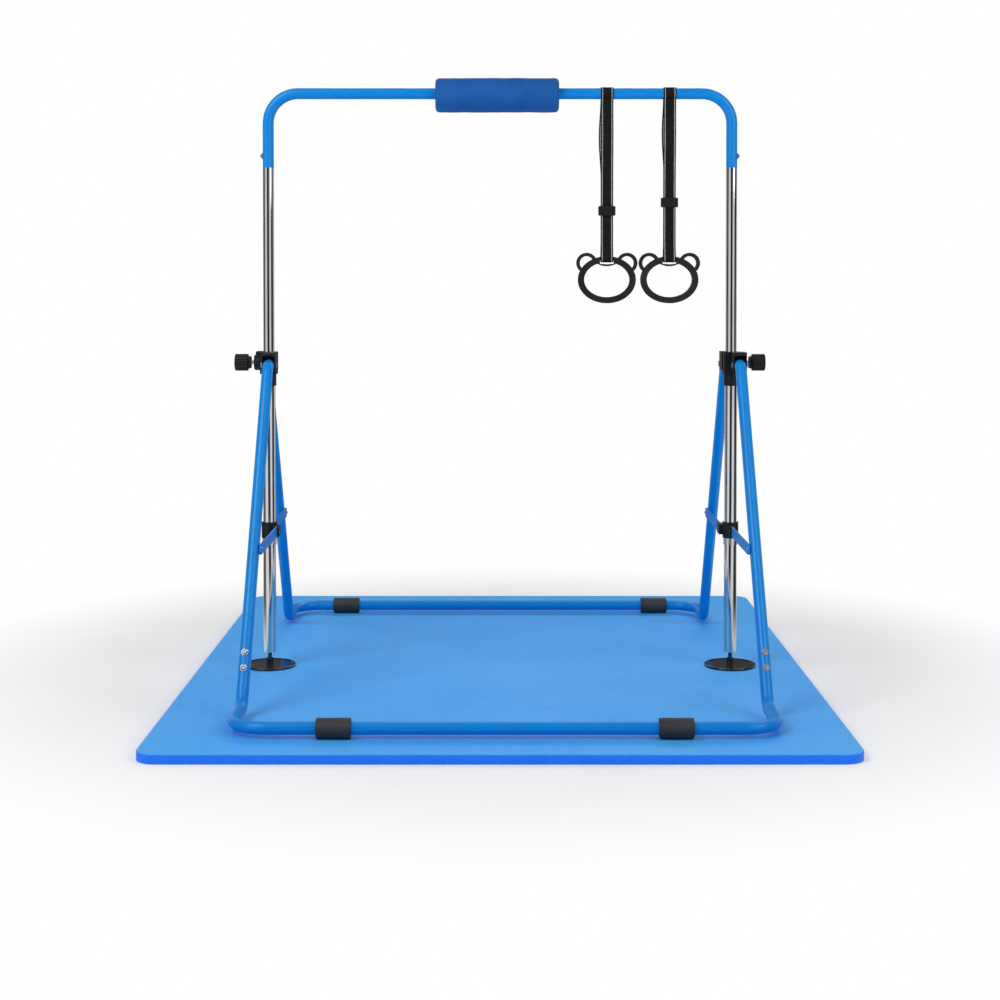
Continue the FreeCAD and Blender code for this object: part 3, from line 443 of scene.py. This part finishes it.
def webbing_skin(half_wide):
    """Black woven webbing with a pale line of stitching inside each edge."""
    material, nodes, links, shader = new_material("webbing_weave")
    place = nodes.new("ShaderNodeUVMap")
    place.uv_map = "cloth"
    split = nodes.new("ShaderNodeSeparateXYZ")
    links.new(place.outputs["UV"], split.inputs[0])

    def wave(axis, pitch):
        node = nodes.new("ShaderNodeMath")
        node.operation = "MULTIPLY"
        node.inputs[1].default_value = 2 * math.pi / pitch
        links.new(split.outputs[axis], node.inputs[0])
        sine = nodes.new("ShaderNodeMath")
        sine.operation = "SINE"
        links.new(node.outputs[0], sine.inputs[0])
        return sine.outputs[0]

    weave = nodes.new("ShaderNodeMath")
    weave.operation = "MULTIPLY"
    links.new(wave("X", 1.6 * MM), weave.inputs[0])
    links.new(wave("Y", 1.9 * MM), weave.inputs[1])
    thread = nodes.new("ShaderNodeMapRange")
    thread.inputs["From Min"].default_value = -1
    links.new(weave.outputs[0], thread.inputs["Value"])
    away = nodes.new("ShaderNodeMath")
    away.operation = "ABSOLUTE"
    links.new(split.outputs["X"], away.inputs[0])
    from_line = nodes.new("ShaderNodeMath")
    from_line.operation = "SUBTRACT"
    from_line.inputs[1].default_value = half_wide - 4.2 * MM
    links.new(away.outputs[0], from_line.inputs[0])
    distance = nodes.new("ShaderNodeMath")
    distance.operation = "ABSOLUTE"
    links.new(from_line.outputs[0], distance.inputs[0])
    line = nodes.new("ShaderNodeMapRange")
    line.inputs["From Min"].default_value = 1.1 * MM
    line.inputs["From Max"].default_value = 0.7 * MM
    links.new(distance.outputs[0], line.inputs["Value"])
    stitch = nodes.new("ShaderNodeMapRange")
    stitch.inputs["From Min"].default_value = -0.75
    stitch.inputs["From Max"].default_value = -0.45
    links.new(wave("Y", 3.4 * MM), stitch.inputs["Value"])
    seam = nodes.new("ShaderNodeMath")
    seam.operation = "MULTIPLY"
    links.new(line.outputs["Result"], seam.inputs[0])
    links.new(stitch.outputs["Result"], seam.inputs[1])
    base = two_tone(nodes, links, thread.outputs["Result"], (0.003, 0.003, 0.0035), (0.011, 0.011, 0.012))
    mix = nodes.new("ShaderNodeMix")
    mix.data_type = "RGBA"
    links.new(seam.outputs[0], mix.inputs["Factor"])
    links.new(base, mix.inputs["A"])
    mix.inputs["B"].default_value = (0.60, 0.60, 0.62, 1)
    links.new(mix.outputs["Result"], shader.inputs["Base Color"])
    links.new(blotches(nodes, links, 60.0, 0.62, 0.78), shader.inputs["Roughness"])
    shader.inputs["Specular IOR Level"].default_value = 0.15
    lift = nodes.new("ShaderNodeMath")
    lift.operation = "ADD"
    links.new(weave.outputs[0], lift.inputs[0])
    links.new(seam.outputs[0], lift.inputs[1])
    bump(nodes, links, lift.outputs[0], 0.0003, 0.8, shader)
    return material


def eased(share):
    """A share from 0 to 1 that starts and ends softly."""
    return share * share * (3 - 2 * share)


def loop_line(number):
    """The strap's middle line in the YZ plane, from the top of the bar: front layer down, rear layer up."""
    low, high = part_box(f"strap_{number}_webbing")
    thick = 2 * MM
    bar_r = high.z - BAR_Z - thick / 2
    rim_z = low.z + 10.44 * MM
    rim_r = 9.44 * MM
    flat = thick / 2 + 0.15 * MM
    points = []
    for i in range(25):
        angle = math.radians(90 + 150 * i / 24)
        points.append((bar_r * math.cos(angle), BAR_Z + bar_r * math.sin(angle)))
    front = points[-1]
    top_run = BAR_Z - 58 * MM
    low_run = rim_z + 43 * MM
    for i in range(1, 13):
        share = i / 12
        ease = eased(share)
        z = front[1] + (top_run - front[1]) * share
        points.append((front[0] + (-flat - front[0]) * ease, z))
    for i in range(1, 40):
        points.append((-flat, top_run + (low_run - top_run) * i / 40))
    side = -rim_r * math.cos(math.radians(30))
    end_z = rim_z + rim_r * math.sin(math.radians(30))
    for i in range(0, 13):
        share = i / 12
        ease = eased(share)
        points.append((-flat + (side + flat) * ease, low_run + (end_z - low_run) * share))
    for i in range(1, 17):
        angle = math.radians(150 + 240 * i / 16)
        points.append((rim_r * math.cos(angle), rim_z + rim_r * math.sin(angle)))
    for i in range(1, 13):
        share = i / 12
        ease = eased(share)
        points.append((-side + (flat + side) * ease, end_z + (low_run - end_z) * share))
    for i in range(1, 40):
        points.append((flat, low_run + (top_run - low_run) * i / 40))
    for i in range(0, 13):
        share = i / 12
        ease = eased(share)
        points.append((flat + (-front[0] - flat) * ease, top_run + (front[1] - top_run) * share))
    for i in range(1, 25):
        angle = math.radians(-60 + 150 * i / 24)
        points.append((bar_r * math.cos(angle), BAR_Z + bar_r * math.sin(angle)))
    return points[:-1]


def make_strap(number, material):
    """The webbing loop as one closed band, its rear layer a little out of line behind the front one."""
    low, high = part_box(f"strap_{number}_webbing")
    x0 = (low.x + high.x) / 2
    half = (high.x - low.x) / 2 - 0.2 * MM
    line = loop_line(number)
    count = len(line)
    length = [0.0]
    for i in range(count):
        a = Vector(line[i])
        b = Vector(line[(i + 1) % count])
        length.append(length[-1] + (b - a).length)
    across = 9
    # The rear layer strays sideways only above the highest place of the buckle.
    span = BAR_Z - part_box(f"strap_{number}_buckle")[1].z - 62 * MM
    rows = []
    uv_rows = []
    for i, (y, z) in enumerate(line):
        a = Vector(line[i - 1])
        b = Vector(line[(i + 1) % count])
        way = (b - a).normalized()
        normal = Vector((-way.y, way.x))
        drop = max(0.0, min(1.0, (BAR_Z - z) / span))
        sway = math.sin(math.pi * drop) ** 2
        rear = y > 0.5 * MM
        shift = -(5.0 if number == 1 else 4.2) * MM * sway if rear else 0.6 * MM * sway
        row = []
        uv_row = []
        for side in (1, -1):
            for j in range(across):
                share = j / (across - 1) * 2 - 1
                if side < 0:
                    share = -share
                wave = 0.12 * MM * noise.noise(Vector((share * 2, z * 40, number * 7.0 + (3 if rear else 0))))
                offset = normal * (side * (0.92 * MM - 0.35 * MM * abs(share) ** 6) + wave)
                row.append((x0 + share * half + shift, POST_Y + y + offset.x, z + offset.y))
                uv_row.append((share * half, length[i]))
        rows.append(row)
        uv_rows.append(uv_row)
    data = grid_mesh(f"strap_{number}_band", rows, closed_rows=True, closed_columns=True)
    uv = data.uv_layers.new(name="cloth")
    width = len(rows[0])
    for face in data.polygons:
        for corner in face.loop_indices:
            index = data.loops[corner].vertex_index
            i, j = divmod(index, width)
            u, v = uv_rows[i][j]
            if i == 0 and any(data.loops[c].vertex_index // width == count - 1 for c in face.loop_indices):
                v = length[-1]
            uv.data[corner].uv = (u, v)
    piece = add_piece(f"strap_{number}_band", data, material, f"strap_{number}")
    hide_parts(f"strap_{number}_webbing")
    return piece


# ---------------------------------------------------------------- build

make_mat()
make_pad()
strap_low, strap_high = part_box("strap_1_webbing")
weave = webbing_skin((strap_high.x - strap_low.x) / 2)
for number in (1, 2):
    make_strap(number, weave)
for name in ("left_head", "right_head", "left_collar", "right_collar"):
    soften(NODES[name], 1.2 * MM)
for name in ("strap_1_buckle", "strap_2_buckle"):
    soften(NODES[name], 0.8 * MM)
for name in ("hand_ring_1", "hand_ring_2"):
    soften(NODES[name], 3.6 * MM, 4)

floor_data = grid_mesh("floor", [[(-12, -12, 0), (12, -12, 0)], [(-12, 12, 0), (12, 12, 0)]])
floor = bpy.data.objects.new("floor", floor_data)
bpy.context.scene.collection.objects.link(floor)
floor_skin, floor_nodes, floor_links, floor_shader = new_material("studio_floor")
floor_shader.inputs["Roughness"].default_value = 0.9
floor_shader.inputs["Specular IOR Level"].default_value = 0.05
floor_blotches = blotches(floor_nodes, floor_links, 3.0, 0, 1)
floor_white = two_tone(floor_nodes, floor_links, floor_blotches, (0.96, 0.96, 0.96), (0.98, 0.98, 0.98))
floor_links.new(floor_white, floor_shader.inputs["Base Color"])
# The sweep glows more the farther it lies from the mat, so it runs out into plain white.
floor_place = floor_nodes.new("ShaderNodeTexCoord")
floor_far = floor_nodes.new("ShaderNodeVectorMath")
floor_far.operation = "LENGTH"
floor_links.new(floor_place.outputs["Object"], floor_far.inputs[0])
floor_fade = floor_nodes.new("ShaderNodeMapRange")
floor_fade.interpolation_type = "SMOOTHSTEP"
floor_fade.inputs["From Min"].default_value = 0.9
floor_fade.inputs["From Max"].default_value = 1.7
floor_links.new(floor_far.outputs["Value"], floor_fade.inputs["Value"])
floor_glow = floor_nodes.new("ShaderNodeEmission")
floor_mix = floor_nodes.new("ShaderNodeMixShader")
floor_rays = floor_nodes.new("ShaderNodeLightPath")
floor_tone = floor_nodes.new("ShaderNodeMix")
floor_tone.data_type = "RGBA"
floor_tone.inputs["A"].default_value = (1, 1, 1, 1)
floor_links.new(floor_rays.outputs["Is Glossy Ray"], floor_tone.inputs["Factor"])
floor_links.new(studio_bands(floor_skin.node_tree, floor_place.outputs["Object"]), floor_tone.inputs["B"])
floor_links.new(floor_tone.outputs["Result"], floor_glow.inputs["Color"])
floor_links.new(floor_fade.outputs["Result"], floor_mix.inputs[0])
floor_links.new(floor_shader.outputs[0], floor_mix.inputs[1])
floor_links.new(floor_glow.outputs[0], floor_mix.inputs[2])
floor_links.new(floor_mix.outputs[0], floor_nodes["Material Output"].inputs["Surface"])
floor_data.materials.append(floor_skin)
floor.location.z = -0.4 * MM
